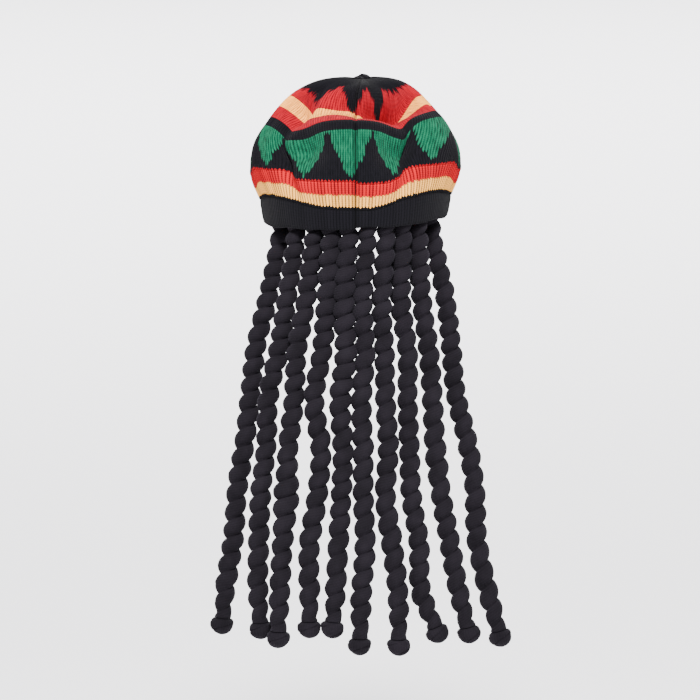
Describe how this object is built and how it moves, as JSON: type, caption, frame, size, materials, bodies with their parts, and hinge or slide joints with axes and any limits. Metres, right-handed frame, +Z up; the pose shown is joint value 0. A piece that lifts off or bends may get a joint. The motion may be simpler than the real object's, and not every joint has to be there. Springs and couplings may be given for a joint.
{
  "type": "rasta tam with twisted locks",
  "caption": "Slouchy knitted tam in black, red, tan and green, with a ribbed band, a rolled rim and twisted locks that end in knots, hanging as it is worn.",
  "frame": {"origin": "middle of the head opening, in the plane of the rolled rim, where the cap sits on a head", "axes": "+Z up through the crown, -Y towards the knitted seam and the locks at the back of the head, +X to the right as the back is looked at"},
  "size_m": [0.3169, 0.2362, 0.6004],
  "materials": {
    "knit_crown": "fine knitted acrylic in black with red and tan stripes and green triangles",
    "knit_band": "ribbed acrylic knit, tan below and red above",
    "knit_rim": "black ribbed knit, rolled",
    "lock_yarn": "black knitted tube, stuffed and twisted"
  },
  "bodies": {
    "root": {"crown": "knit_crown", "crown_gather": "knit_crown", "rib_band": "knit_band", "rolled_rim": "knit_rim", "lock_01": "lock_yarn", "lock_02": "lock_yarn", "lock_03": "lock_yarn", "lock_04": "lock_yarn", "lock_05": "lock_yarn", "lock_06": "lock_yarn", "lock_07": "lock_yarn", "lock_08": "lock_yarn", "lock_09": "lock_yarn", "lock_10": "lock_yarn", "lock_knot_01": "lock_yarn", "lock_knot_02": "lock_yarn", "lock_knot_03": "lock_yarn", "lock_knot_04": "lock_yarn", "lock_knot_05": "lock_yarn", "lock_knot_06": "lock_yarn", "lock_knot_07": "lock_yarn", "lock_knot_08": "lock_yarn", "lock_knot_09": "lock_yarn", "lock_knot_10": "lock_yarn"}
  },
  "joints": []
}
